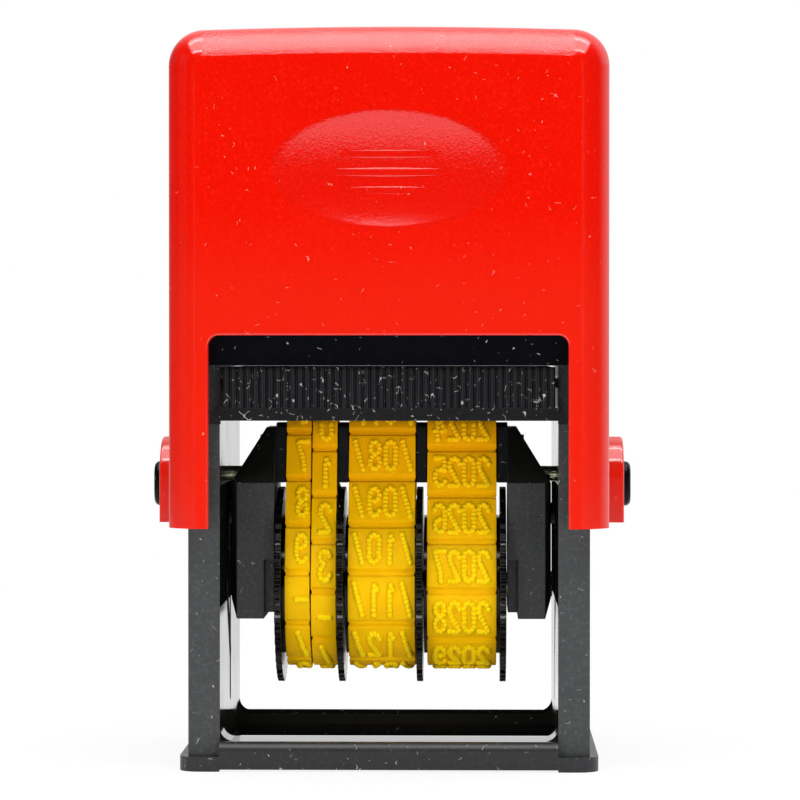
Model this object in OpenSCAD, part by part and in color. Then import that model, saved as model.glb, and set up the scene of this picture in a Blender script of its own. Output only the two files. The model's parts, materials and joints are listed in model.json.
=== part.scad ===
// Self-inking date stamp with four rubber date bands.
// Millimetres. Origin at the centre of the base on the table, Z up, front at -Y.

/* [Date bands] */
// Width of each day band
day_band_w = 3; // [2.6:0.1:4]
// Width of the month band
month_band_w = 8; // [6:0.1:10]
// Width of the year band
year_band_w = 8.3; // [6:0.1:10]
// Thickness of the strap under the type pads
strap_t = 0.75; // [0.5:0.05:1.1]
// Height of a type pad over the strap
pad_t = 0.45; // [0.3:0.05:0.8]
// Height of the characters over a type pad
type_h = 0.35; // [0.2:0.05:0.6]
// Type pads round each band
pad_count = 13; // [12:1:14]
// Width of the groove between two pads at its bottom
groove_w = 0.5; // [0.3:0.05:0.8]
// Extra width of that groove on each side at its mouth
groove_flare = 0.25; // [0.1:0.05:0.4]
// How far the units and month bands are turned past a centred pad
near_set = 1.43; // [-2.8:0.01:2.8]
// How far the tens and year bands are turned past a centred pad
far_set = -2.3; // [-2.8:0.01:2.8]

/* [Date wheels] */
// Radius of the thumb disc over its teeth
disc_r = 11.8; // [11:0.1:12.4]
// Thickness of the thumb disc
disc_t = 0.75; // [0.6:0.05:1]
// Teeth round the thumb disc
disc_teeth = 48; // [36:1:60]
// Depth of those teeth
tooth_h = 0.4; // [0.2:0.05:0.6]
// Radius of the hub that carries a band
hub_r = 8.4; // [7.8:0.1:8.8]
// Hub left bare beside a band
collar_w = 0.4; // [0.3:0.05:0.6]
// Radius of the shaft that the wheels turn on
shaft_r = 1.6; // [1.2:0.05:2]

/* [Print head] */
// Height of the head's pivot at rest
pivot_z = 34; // [33:0.1:36]
// Distance from the pivot to the wheel shaft
arm = 13.4; // [13:0.1:14]
// Distance from the pivot to the face of the type
print_reach = 7.8; // [7.4:0.1:8.4]
// Radius of the pivot rod
rod_r = 0.95; // [0.8:0.05:1.1]
// Half depth of the platen under the bands
platen_half = 2.8; // [2.6:0.1:3.2]
// Radius of the platen's long edges
platen_edge = 1.2; // [0.9:0.1:1.4]
// Thickness of a cheek
cheek_t = 5.15; // [4.6:0.05:6]
// Half depth of a cheek beside the wheels
cheek_half = 7.5; // [6.5:0.1:8]
// Distance from the pivot to the cam pin
pin_arm = 4.8; // [4:0.1:5]
// Radius of the cam pin
pin_r = 1.3; // [1.2:0.05:1.5]

/* [Frame] */
// Thickness of a side wall
wall_t = 3.7; // [3.4:0.1:4.4]
// Depth of a side wall from front to back
wall_d = 35.2; // [34:0.2:36]
// Depth of the cam groove in a side wall
cam_depth = 2.2; // [2:0.1:2.4]
// Thickness of the deck over the ink tray
deck_t = 2; // [1.6:0.1:3]
// Height of the deck's front and back edges
fascia_h = 5.5; // [4.5:0.1:6.5]
// Height of a foot rail
foot_h = 1.7; // [1.4:0.1:2]
// How far a foot rail stands out past its wall
foot_out = 1; // [0.6:0.1:1.2]
// How far the base stands out past the front and back of the walls
base_out = 1.8; // [1.2:0.1:2]
// Height of the base's front and back bars
bar_top = 3.45; // [3:0.05:4]
// Thickness of those bars
bar_t = 2.4; // [2:0.1:3]
// Depth of the ledge along the top of those bars
ledge_d = 6.9; // [5:0.1:7.4]

/* [Ink tray] */
// Height of the tray over the ink face
tray_h = 5; // [4.6:0.1:5.6]
// How far the grip hangs below the ink face
lip_drop = 1.2; // [0.8:0.1:1.4]
// Height of the smooth lip under the grip ribs
lip_h = 1.5; // [1.2:0.1:2]
// Ribs across the grip
grip_ribs = 45; // [30:1:60]
// Height of those ribs
rib_h = 0.3; // [0.2:0.05:0.5]

/* [Cover] */
// Height of the cover
cover_h = 58.2; // [57:0.1:62]
// Thickness of the cover's walls
cover_t = 1.8; // [1.6:0.1:2.2]
// Radius of the cover's upright edges
side_round = 3.8; // [3:0.1:4.4]
// Radius of its left and right top edges
top_round = 3.4; // [2.6:0.1:4]
// Radius of its front and back top edges
brow_round = 2.6; // [2:0.1:3.2]
// Rise of the crowned top
crown = 0.5; // [0.3:0.05:0.8]
// Height of the deck's edge that shows in the window
window_show = 3.5; // [3:0.1:4]
// Radius of the window's top corners
window_round = 1.2; // [0.8:0.1:2]
// How far the pivot bosses stand out
boss_t = 2.3; // [2:0.1:2.8]
// Radius of a pivot boss
boss_r = 4.9; // [4.4:0.1:5.4]
// Half width of the thumb dish
dish_half_w = 13.6; // [12:0.1:15]
// Half height of the thumb dish
dish_half_h = 7; // [6:0.1:7.5]
// Depth of the thumb dish
dish_depth = 0.8; // [0.5:0.05:1]
// Distance from the cover's top to the middle of the dish
dish_down = 16.7; // [15:0.1:18]

/* [Return spring] */
// Thickness of the wire
wire_t = 1; // [0.8:0.05:1.1]
// Middle radius of the coil
coil_r = 6.2; // [5.6:0.1:7]
// Turns of the coil
coil_turns = 7; // [6:1:8]

/* [Hidden] */
$fn = 64;
run_gap = 0.12;
side_gap = 0.2;
swing_gap = 0.6;
cover_gap = 0.4;
band_seat = 0.25;
strap_gap = 0.05;
rod_gap = 0.04;
shaft_gap = 0.04;
slot_gap = 0.1;
cam_gap = 0.15;
press_gap = 0.4;
ink_gap = 0.15;
slide_gap = 0.2;
sweep_gap = 0.3;
fit_gap = 0.08;

type_z = pivot_z + print_reach;
stroke = pivot_z - print_reach;
wheel_z = pivot_z - arm;

half_stack = (4 * disc_t + 4 * collar_w + 2 * day_band_w + month_band_w + year_band_w + 5 * run_gap) / 2;
units_disc_x = -half_stack;
units_band_x = units_disc_x + disc_t + collar_w;
tens_band_x = units_band_x + day_band_w + run_gap;
tens_disc_x = tens_band_x + day_band_w + run_gap;
month_hub_x = tens_disc_x + disc_t + run_gap;
month_band_x = month_hub_x + collar_w;
month_disc_x = month_band_x + month_band_w + run_gap;
year_hub_x = month_disc_x + disc_t + run_gap;
year_band_x = year_hub_x + collar_w;
year_disc_x = year_band_x + year_band_w + collar_w;

cheek_in = half_stack + side_gap;
cheek_out = cheek_in + cheek_t;
wall_in = cheek_out + swing_gap;
wall_out = wall_in + wall_t;
cover_in = wall_out + cover_gap;
cover_half = cover_in + cover_t;
boss_x = cover_half + boss_t;

wall_half = wall_d / 2;
ink_z = type_z + ink_gap;
lip_z = ink_z - lip_drop;
tray_top = ink_z + tray_h;
deck_z = tray_top + slide_gap;
fascia_top = deck_z + fascia_h;
window_top = deck_z + window_show;
cover_z = foot_h + stroke + press_gap;
cover_top = cover_z + cover_h;
roof_z = cover_top - crown - cover_t;

// The cover is as deep as the swing of the wheels under the window's edge asks for.
sweep_r = arm + disc_r + sweep_gap;
window_rise = window_top - pivot_z;
sweep_half = sqrt(max(1, sweep_r * sweep_r - window_rise * window_rise));
cover_in_d = max(sweep_half, wall_half + 1.6);
cover_half_d = cover_in_d + cover_t;
window_half = wall_in + 1.1;

// Details of the cover and its rod caps.
thumb_bar_half = 7.5;
thumb_bar_h = 0.84;
thumb_bar_pitch = 2.11;
thumb_bar_rise = 0.17;
thumb_bar_y = cover_half_d - dish_depth + thumb_bar_rise;
thumb_bar_z = cover_top - dish_down - 2.4;
boss_z = pivot_z - 0.4;
spigot_r = coil_r - wire_t / 2 - 0.4;
spigot_h = 3;
rod_end = boss_x + 0.3;
cap_t = 0.95;
cap_r = 1.75;
cap_z = pivot_z - 0.25;
cap_drop = 1.9;
cap_peg_r = 0.8;
cap_peg_l = 1;
cap_peg_z = pivot_z - 2.6;

// Details of the frame and its base.
notch_d = 1.5;
notch_gap = 0.4;
fascia_t = 1.8;
foot_half = wall_out + foot_out;
foot_half_d = wall_half + base_out;
foot_round = 2.4;
foot_peg_r = 1.1;
foot_peg_h = 1;
foot_peg_x = (wall_in + wall_out) / 2;
foot_peg_y = wall_half - 5;
bar_lift = 0.25;
bar_round = 1.1;
bar_root = 1.2;
ledge_t = 1.2;
ledge_y = foot_half_d - ledge_d;
base_fillet = 1.5;

// Details of the cheeks.
cheek_top = type_z - 2.1;
cheek_low = wheel_z - 3.7;
shoulder_z = pivot_z - 0.9;
cheek_rim = 1.1;
cheek_tip_half = 3.6;
cheek_bevel = 0.7;
cheek_bevel_h = 2.4;
cheek_bevel_d = 1.2;
cheek_toe = 1.2;
cheek_toe_h = 0.7;
cheek_step = 1.2;
cheek_step_top = cheek_low + 7;
tenon_w = 2.4;
tenon_h = 1.8;
tenon_l = 2;

// Path of a band: flat over the platen, round its edge, straight down and round the wheel.
loop_r = hub_r + band_seat;
edge_y = platen_half - platen_edge;
platen_top = type_z - type_h - pad_t - strap_t;
edge_z = platen_top - platen_edge;
reach = edge_z - wheel_z;
span = sqrt(edge_y * edge_y + reach * reach);
lean = atan2(reach, edge_y) - acos((loop_r - platen_edge) / span);
run = sqrt(span * span - (loop_r - platen_edge) * (loop_r - platen_edge));
mid = strap_t / 2;
s_flat = edge_y;
s_edge = s_flat + (90 - lean) * PI / 180 * (platen_edge + mid);
s_run = s_edge + run;
s_half = s_run + (lean + 90) * PI / 180 * (loop_r + mid);
pitch = 2 * s_half / pad_count;

function wrap(s) = s > s_half ? wrap(s - 2 * s_half) : s < -s_half ? wrap(s + 2 * s_half) : s;
function turn(a) =
    a <= s_flat ? 90
    : a <= s_edge ? 90 - (a - s_flat) / (platen_edge + mid) * 180 / PI
    : a <= s_run ? lean
    : lean - (a - s_run) / (loop_r + mid) * 180 / PI;
function foot_of(a) =
    a <= s_flat ? [a, platen_top]
    : a <= s_edge ? [edge_y, edge_z] + platen_edge * [cos(turn(a)), sin(turn(a))]
    : a <= s_run ? [edge_y, edge_z] + platen_edge * [cos(lean), sin(lean)]
        + (a - s_edge) * [sin(lean), -cos(lean)]
    : [0, wheel_z] + loop_r * [cos(turn(a)), sin(turn(a))];
function half_point(a, d) = foot_of(a) + d * [cos(turn(a)), sin(turn(a))];
// Positive lengths run down the front.
function path_point(s, d) =
    let (w = wrap(s), p = half_point(abs(w), d))
    w > 0 ? [-p[0], p[1]] : p;

pad_steps = 8;
function pad_points(from, to) = [
    for (k = [0 : pad_steps])
        path_point(from + groove_w / 2 + groove_flare
            + k / pad_steps * (to - from - groove_w - 2 * groove_flare), strap_t + pad_t)
];
function band_outline(set) = [
    for (i = [0 : pad_count - 1])
        let (from = (i + 0.5) * pitch + set, to = from + pitch)
        each concat([path_point(from + groove_w / 2, strap_t)], pad_points(from, to),
            [path_point(to - groove_w / 2, strap_t)])
];
// Places along the inner loop: close together round the platen's edge and the wheel.
edge_steps = 8;
wheel_steps = 24;
half_stops = concat([for (k = [0 : edge_steps]) s_flat + k / edge_steps * (s_edge - s_flat)],
    [for (k = [0 : wheel_steps]) s_run + k / wheel_steps * (s_half - s_run)]);
loop_stops = concat(half_stops, [for (k = [len(half_stops) - 2 : -1 : 0]) -half_stops[k]]);
inner_loop = [for (s = loop_stops) path_point(s, 0)];

// Stand a flat shape up: its x becomes X and its y becomes Z.
module facing_front(depth) {
    rotate([90, 0, 0]) linear_extrude(depth, center = true) children();
}

// Stand a flat shape up from X = x0: its x becomes Y and its y becomes Z.
module facing_side(x0, width) {
    translate([x0, 0, 0]) rotate([90, 0, 90]) linear_extrude(width) children();
}

module rod_along(x0, x1, r, z) {
    translate([x0, 0, z]) rotate([0, 90, 0]) cylinder(h = x1 - x0, r = r);
}

module round_rect(w, d, r) {
    square([w - 2 * r, d], center = true);
    square([w, d - 2 * r], center = true);
    for (x = [-1, 1], y = [-1, 1]) translate([x * (w / 2 - r), y * (d / 2 - r)]) circle(r);
}

// A plate with two rounded top corners, standing on z0.
module arch_plate(half, z0, z1, r) {
    translate([-half, z0]) square([2 * half, z1 - r - z0]);
    translate([-half + r, z0]) square([2 * half - 2 * r, z1 - z0]);
    for (x = [-1, 1]) translate([x * (half - r), z1 - r]) circle(r);
}

module cover_block() {
    crown_r = (cover_half * cover_half + crown * crown) / (2 * crown);
    intersection() {
        translate([0, 0, cover_z]) linear_extrude(cover_h)
            round_rect(2 * cover_half, 2 * cover_half_d, side_round);
        facing_front(2 * cover_half_d + 2) arch_plate(cover_half, cover_z, cover_top, top_round);
        facing_side(-cover_half - 1, 2 * cover_half + 2)
            arch_plate(cover_half_d, cover_z, cover_top, brow_round);
        translate([0, 0, cover_top - crown_r]) rotate([90, 0, 0])
            cylinder(h = 2 * cover_half_d + 4, r = crown_r, center = true, $fn = 720);
    }
}

// The dish is the rim of a large ring, sunk into the front or the back.
module dish(side) {
    tube = dish_half_h * dish_half_h / (2 * dish_depth);
    ring = dish_half_w * dish_half_w / (2 * dish_depth) - tube;
    translate([0, side * (cover_half_d - dish_depth + ring + tube), cover_top - dish_down])
        rotate_extrude($fn = 180) translate([ring, 0]) circle(tube, $fn = 120);
}

module cover() {
    color("red") {
        difference() {
            union() {
                difference() {
                    cover_block();
                    translate([0, 0, cover_z - 1]) linear_extrude(roof_z - cover_z + 1)
                        round_rect(2 * cover_in, 2 * cover_in_d, max(0.5, side_round - cover_t));
                    facing_front(2 * cover_half_d + 2)
                        arch_plate(window_half, cover_z - 1, window_top, window_round);
                    dish(-1);
                    dish(1);
                }
                // Bars across each dish, with their faces in one plane.
                for (side = [-1, 1], k = [0 : 2])
                    translate([0, side * (thumb_bar_y - cover_t / 4), thumb_bar_z + k * thumb_bar_pitch])
                        cube([2 * thumb_bar_half, cover_t / 2, thumb_bar_h], center = true);
                // Pivot bosses with an arched top.
                for (x = [-boss_x, cover_in]) facing_side(x, boss_x - cover_in) {
                    translate([0, boss_z]) circle(boss_r);
                    translate([-boss_r, cover_z]) square([2 * boss_r, boss_z - cover_z]);
                }
                // Spigot that centres the spring.
                translate([0, 0, roof_z - spigot_h]) cylinder(h = spigot_h + cover_t / 2, r = spigot_r);
            }
            rod_along(-boss_x - 1, boss_x + 1, rod_r + rod_gap, pivot_z);
            for (x = [-1, 1])
                rod_along(x * boss_x - 1.2 * cap_peg_l, x * boss_x + 1.2 * cap_peg_l, cap_peg_r + fit_gap,
                    cap_peg_z);
            // Under the bosses the cover's lower edge stays level.
            translate([0, 0, cover_z - boss_r / 2])
                cube([2 * boss_x + 2, 2 * cover_half_d + 2, boss_r], center = true);
        }
    }
}

module pivot_rod() {
    color("silver") rod_along(-rod_end, rod_end, rod_r, pivot_z);
}

// A cap over one end of the rod, kept from turning by a peg.
module rod_cap(side) {
    color([0.1, 0.1, 0.1]) difference() {
        union() {
            facing_side(side > 0 ? boss_x : -boss_x - cap_t, cap_t) {
                translate([0, cap_z]) circle(cap_r);
                translate([0, cap_z - cap_drop]) circle(cap_r);
                translate([-cap_r, cap_z - cap_drop]) square([2 * cap_r, cap_drop]);
            }
            rod_along(side > 0 ? boss_x - cap_peg_l : -boss_x - cap_t / 2,
                side > 0 ? boss_x + cap_t / 2 : -boss_x + cap_peg_l, cap_peg_r, cap_peg_z);
        }
        rod_along(-rod_end - rod_gap, rod_end + rod_gap, rod_r + rod_gap / 2, pivot_z);
    }
}
module rod_cap_left() { rod_cap(-1); }
module rod_cap_right() { rod_cap(1); }

// Centre line of the cam pin while the head turns over and moves down.
function cam_point(t) = [-pin_arm * sin(t), pivot_z - stroke * t / half_turn - pin_arm * cos(t)];
function cam_heading(t) =
    let (v = [-pin_arm * cos(t), -stroke / PI + pin_arm * sin(t)])
    v / norm(v);
function cam_side(t, d) = cam_point(t) + d * [-cam_heading(t)[1], cam_heading(t)[0]];

// The two ends of the track are rounded with short straight steps.
function cam_end(t, from) =
    let (h = cam_heading(t), a = atan2(h[1], h[0]) + from, w = pin_r + cam_gap)
    [for (k = [1 : 7]) cam_point(t) + w * [cos(a - k * 22.5), sin(a - k * 22.5)]];

half_turn = 180;
cam_step = 6;
module cam_track() {
    w = pin_r + cam_gap;
    polygon(concat([for (t = [0 : cam_step : half_turn]) cam_side(t, w)], cam_end(half_turn, 90),
        [for (t = [half_turn : -cam_step : 0]) cam_side(t, -w)], cam_end(0, -90)));
}

module rod_slot() {
    w = rod_r + slot_gap;
    translate([-w, pivot_z - stroke - 0.3]) square([2 * w, stroke + 0.3]);
    translate([0, pivot_z]) circle(w);
    translate([0, pivot_z - stroke - 0.3]) circle(w);
}

module wall_shape() {
    difference() {
        translate([-wall_half, foot_h]) square([2 * wall_half, fascia_top - foot_h]);
        for (y = [-1, 1]) translate([y * wall_half - notch_d, lip_z - notch_gap])
            square([2 * notch_d, deck_z - lip_z + notch_gap]);
    }
}

rail_z = tray_top - 2.4;
rail_h = 1;
rail_w = 0.9;

module frame() {
    color([0.14, 0.14, 0.15]) {
        difference() {
            union() {
                for (x = [-wall_out, wall_in]) facing_side(x, wall_t) wall_shape();
                translate([-wall_in - 1, -wall_half, deck_z]) cube([2 * wall_in + 2, wall_d, deck_t]);
                for (y = [-wall_half, wall_half - fascia_t]) translate([-wall_in - 1, y, deck_z])
                    cube([2 * wall_in + 2, fascia_t, fascia_h]);
                // Rails for the ink tray.
                for (x = [-wall_in - 0.5, wall_in - rail_w])
                    translate([x, -wall_half + notch_d + 1, rail_z])
                        cube([rail_w + 0.5, wall_d - 2 * notch_d - 2, rail_h]);
                // Pegs into the foot rails.
                for (x = [-1, 1], y = [-1, 1])
                    translate([x * foot_peg_x, y * foot_peg_y, foot_h - foot_peg_h])
                        cylinder(h = 2 * foot_peg_h, r = foot_peg_r);
                // Spigot that centres the spring.
                translate([0, 0, deck_z + deck_t / 2]) cylinder(h = spigot_h, r = spigot_r);
            }
            for (x = [-wall_out - 1, wall_in - 1]) facing_side(x, wall_t + 2) rod_slot();
            for (x = [-wall_in - cam_depth, wall_in - 1]) facing_side(x, cam_depth + 1) cam_track();
        }
    }
}

// Side profile of the back bar: a plate with a rounded outer top edge and a ledge inwards.
module bar_shape() {
    translate([foot_half_d - bar_t, bar_lift]) square([bar_t, bar_top - bar_round - bar_lift]);
    translate([foot_half_d - bar_t, bar_lift]) square([bar_t - bar_round, bar_top - bar_lift]);
    translate([ledge_y, bar_top - ledge_t]) square([ledge_d - bar_round, ledge_t]);
    translate([foot_half_d - bar_round, bar_top - bar_round]) circle(bar_round);
}

module base_ring() {
    color([0.12, 0.12, 0.13]) difference() {
        union() {
            for (x = [-1, 1]) intersection() {
                linear_extrude(foot_h) round_rect(2 * foot_half, 2 * foot_half_d, foot_round);
                translate([x * (wall_in + foot_half), 0, 0])
                    cube([2 * foot_half, 4 * foot_half_d, 4 * foot_h], center = true);
            }
            // The front bar is the back bar turned about.
            for (about = [0, 180]) rotate([0, 0, about]) {
                facing_side(-wall_in, 2 * wall_in) bar_shape();
                translate([-wall_in - bar_root, foot_half_d - bar_t, bar_lift])
                    cube([2 * wall_in + 2 * bar_root, bar_t, foot_h - bar_lift]);
                // Rounded inner corners where the ledge meets the walls.
                for (x = [-1, 1]) translate([0, (ledge_y + wall_half) / 2, 0])
                    facing_front(wall_half - ledge_y) difference() {
                        translate([x > 0 ? wall_in - base_fillet : -wall_in, bar_top - ledge_t / 2])
                            square([base_fillet, base_fillet + ledge_t / 2]);
                        translate([x * (wall_in - base_fillet), bar_top + base_fillet]) circle(base_fillet);
                    }
            }
        }
        for (x = [-1, 1], y = [-1, 1])
            translate([x * foot_peg_x, y * foot_peg_y, foot_h - foot_peg_h - slot_gap])
                cylinder(h = 2 * foot_peg_h, r = foot_peg_r + fit_gap);
    }
}

// One unbroken tube from the deck to the roof, with closer end turns.
coil_z0 = deck_z + deck_t + 0.1 + wire_t / 2;
coil_z1 = roof_z - 0.1 - wire_t / 2;
end_rise = wire_t + 0.5;
mid_rise = (coil_z1 - coil_z0 - 2 * end_rise) / (coil_turns - 2);
function coil_height(u) =
    u < 1 ? coil_z0 + u * end_rise
    : u > coil_turns - 1 ? coil_z1 - (coil_turns - u) * end_rise
    : coil_z0 + end_rise + (u - 1) * mid_rise;
coil_steps = 12;
coil_rings = coil_turns * coil_steps;
coil_sides = 6;
function coil_corner(i, j) =
    let (u = i / coil_steps, a = 360 * u, b = 360 * j / coil_sides,
        r = coil_r + wire_t / 2 * cos(b))
    [r * cos(a), r * sin(a), coil_height(u) + wire_t / 2 * sin(b)];
coil_points = [for (i = [0 : coil_rings], j = [0 : coil_sides - 1]) coil_corner(i, j)];
coil_faces = concat(
    [[for (j = [0 : coil_sides - 1]) j]],
    [for (i = [0 : coil_rings - 1], j = [0 : coil_sides - 1])
        [i * coil_sides + j, (i + 1) * coil_sides + j, (i + 1) * coil_sides + (j + 1) % coil_sides]],
    [for (i = [0 : coil_rings - 1], j = [0 : coil_sides - 1])
        [i * coil_sides + j, (i + 1) * coil_sides + (j + 1) % coil_sides,
            i * coil_sides + (j + 1) % coil_sides]],
    [[for (j = [coil_sides - 1 : -1 : 0]) coil_rings * coil_sides + j]]);
coil_gap = min([for (i = [0 : coil_rings - coil_steps])
    coil_height((i + coil_steps) / coil_steps) - coil_height(i / coil_steps) - wire_t]);
echo(least_gap_between_turns = coil_gap);

module return_spring() {
    color("silver") polyhedron(points = coil_points, faces = coil_faces);
}

tray_half = wall_in - 0.5;
tray_front = -wall_half + notch_d - 0.1;
grip_t = 2;
grip_half = wall_in + 0.15;
pad_half_w = tray_half - 1.8;
pad_half_d = wall_half - 4;

// Plan of the grip: a row of ribs across its front.
module grip_plan() {
    w = 2 * grip_half - 1;
    step = w / grip_ribs;
    y0 = tray_front - grip_t;
    polygon(concat([[grip_half - 0.5, tray_front], [-grip_half + 0.5, tray_front]],
        [for (i = [0 : grip_ribs - 1]) each [
            [-w / 2 + i * step, y0], [-w / 2 + (i + 0.25) * step, y0 - rib_h],
            [-w / 2 + (i + 0.75) * step, y0 - rib_h], [-w / 2 + (i + 1) * step, y0]]]));
}

module ink_tray() {
    color([0.13, 0.13, 0.14]) {
        difference() {
            union() {
                translate([-tray_half, tray_front, ink_z])
                    cube([2 * tray_half, wall_half - 0.4 - tray_front, tray_h]);
                translate([0, 0, lip_z + lip_h]) linear_extrude(tray_top - lip_z - lip_h) grip_plan();
                translate([-grip_half, tray_front - grip_t - rib_h, lip_z])
                    cube([2 * grip_half, grip_t + rib_h, lip_h]);
            }
            // Seat of the ink pad.
            translate([-pad_half_w - 0.1, -pad_half_d - 0.1, ink_z - 1])
                cube([2 * pad_half_w + 0.2, 2 * pad_half_d + 0.2, tray_h - 0.2]);
            // Grooves that run on the rails, open at the back.
            for (x = [-tray_half - 1, tray_half - rail_w + 0.2])
                translate([x, tray_front + 0.6, rail_z - 0.15])
                    cube([rail_w + 0.8, wall_d, rail_h + 0.3]);
        }
    }
}

module ink_pad() {
    color([0.08, 0.08, 0.1])
        translate([-pad_half_w, -pad_half_d, ink_z]) cube([2 * pad_half_w, 2 * pad_half_d, tray_h - 1.2]);
}

tenon_z = (pivot_z + rod_r + 1 + cheek_top) / 2;

module cheek(side) {
    color([0.15, 0.15, 0.16]) difference() {
        union() {
            intersection() {
                facing_front(4 * cheek_half) scale([side, 1]) polygon([
                    [cheek_in, cheek_top], [cheek_in + cheek_rim, cheek_top],
                    [cheek_out, shoulder_z], [cheek_out, cheek_low + cheek_bevel_h],
                    [cheek_out - cheek_bevel, cheek_low], [cheek_in + cheek_toe, cheek_low],
                    [cheek_in + cheek_toe, cheek_low + cheek_toe_h], [cheek_in, cheek_low + cheek_toe_h]]);
                facing_side(-cheek_out - 1, 2 * cheek_out + 2) polygon([
                    [-cheek_half, cheek_low], [cheek_half, cheek_low], [cheek_half, shoulder_z],
                    [cheek_tip_half, cheek_top], [-cheek_tip_half, cheek_top], [-cheek_half, shoulder_z]]);
                translate([0, 0, cheek_low]) linear_extrude(cheek_top - cheek_low) scale([side, 1]) polygon([
                    [cheek_in, -cheek_half], [cheek_out - cheek_bevel, -cheek_half],
                    [cheek_out, -cheek_half + cheek_bevel_d], [cheek_out, cheek_half - cheek_bevel_d],
                    [cheek_out - cheek_bevel, cheek_half], [cheek_in, cheek_half]]);
            }
            rod_along(side > 0 ? cheek_out - 1 : -cheek_out - swing_gap - cam_depth + 0.3,
                side > 0 ? cheek_out + swing_gap + cam_depth - 0.3 : -cheek_out + 1,
                pin_r, pivot_z - pin_arm);
        }
        rod_along(-boss_x, boss_x, rod_r + rod_gap, pivot_z);
        rod_along(-boss_x, boss_x, shaft_r + shaft_gap / 2, wheel_z);
        // Lower inner corners are stepped back.
        for (y = [-1, 1]) translate([side * cheek_in, y * cheek_half, cheek_low])
            cube([2 * cheek_step, 2 * cheek_step, 2 * (cheek_step_top - cheek_low)], center = true);
        // Socket for the platen's tenon.
        translate([side * cheek_in, 0, tenon_z])
            cube([2 * (tenon_l + slot_gap), tenon_w + 2 * fit_gap, tenon_h + 2 * fit_gap], center = true);
    }
}
module left_cheek() { cheek(-1); }
module right_cheek() { cheek(1); }

// Outline of the platen under the straps, from its top down to the shoulder of the cheeks.
function platen_outline(d) =
    let (tip = half_point(s_edge, d), s_low = s_edge + (tip[1] - shoulder_z) / cos(lean))
    concat([for (k = [0 : 8]) let (p = half_point(s_flat + k / 8 * (s_edge - s_flat), d)) p],
        [half_point(s_low, d)],
        [let (p = half_point(s_low, d)) [-p[0], p[1]]],
        [for (k = [8 : -1 : 0]) let (p = half_point(s_flat + k / 8 * (s_edge - s_flat), d)) [-p[0], p[1]]]);

module platen() {
    color([0.11, 0.11, 0.12]) difference() {
        union() {
            facing_side(-cheek_in, 2 * cheek_in) polygon(platen_outline(-strap_gap));
            // Fins that keep the bands apart.
            intersection() {
                union() {
                    facing_side(-cheek_in, units_band_x - run_gap + cheek_in) polygon(platen_outline(strap_t));
                    facing_side(tens_disc_x, month_band_x - run_gap - tens_disc_x)
                        polygon(platen_outline(strap_t));
                    facing_side(month_disc_x, year_band_x - run_gap - month_disc_x)
                        polygon(platen_outline(strap_t));
                    facing_side(year_band_x + year_band_w + run_gap,
                        cheek_in - year_band_x - year_band_w - run_gap) polygon(platen_outline(strap_t));
                }
                translate([-cheek_in, -hub_r, wheel_z])
                    cube([2 * cheek_in, 2 * hub_r, cheek_top - wheel_z]);
            }
            translate([0, 0, tenon_z]) cube([2 * (cheek_in + tenon_l), tenon_w, tenon_h], center = true);
        }
        rod_along(-boss_x, boss_x, rod_r + rod_gap, pivot_z);
    }
}

module wheel_shaft() {
    color("silver") rod_along(-cheek_out - 0.3, cheek_out + 0.3, shaft_r, wheel_z);
}

module disc_shape() {
    polygon([for (i = [0 : disc_teeth - 1], c = [[0, -tooth_h], [0.22, 0], [0.6, 0], [0.82, -tooth_h]])
        (disc_r + c[1]) * [cos(360 / disc_teeth * (i + c[0])), sin(360 / disc_teeth * (i + c[0]))]]);
}

// A toothed thumb disc and the hub of its band.
module date_wheel(disc_x, hub_x0, hub_x1) {
    color([0.1, 0.1, 0.11]) difference() {
        union() {
            facing_side(disc_x, disc_t) translate([0, wheel_z]) disc_shape();
            rod_along(hub_x0, hub_x1, hub_r, wheel_z);
        }
        rod_along(-boss_x, boss_x, shaft_r + shaft_gap, wheel_z);
    }
}
module units_wheel() { date_wheel(units_disc_x, units_disc_x + disc_t / 2, units_band_x + day_band_w); }
module tens_wheel() { date_wheel(tens_disc_x, tens_band_x, tens_disc_x + disc_t / 2); }
module month_wheel() { date_wheel(month_disc_x, month_hub_x, month_disc_x + disc_t / 2); }
module year_wheel() { date_wheel(year_disc_x, year_hub_x, year_disc_x + disc_t / 2); }

module date_band(x0, width, set) {
    color([0.88, 0.68, 0.08]) facing_side(x0, width) difference() {
        polygon(band_outline(set));
        polygon(inner_loop);
    }
}
module units_band() { date_band(units_band_x, day_band_w, near_set); }
module tens_band() { date_band(tens_band_x, day_band_w, far_set); }
module month_band() { date_band(month_band_x, month_band_w, near_set); }
module year_band() { date_band(year_band_x, year_band_w, far_set); }

cover();
pivot_rod();
rod_cap_left();
rod_cap_right();
frame();
base_ring();
return_spring();
ink_tray();
ink_pad();
left_cheek();
right_cheek();
platen();
wheel_shaft();
units_wheel();
tens_wheel();
month_wheel();
year_wheel();
units_band();
tens_band();
month_band();
year_band();
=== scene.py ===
"""Self-inking date stamp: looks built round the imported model, in its frame, in metres."""
import json
import math

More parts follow.
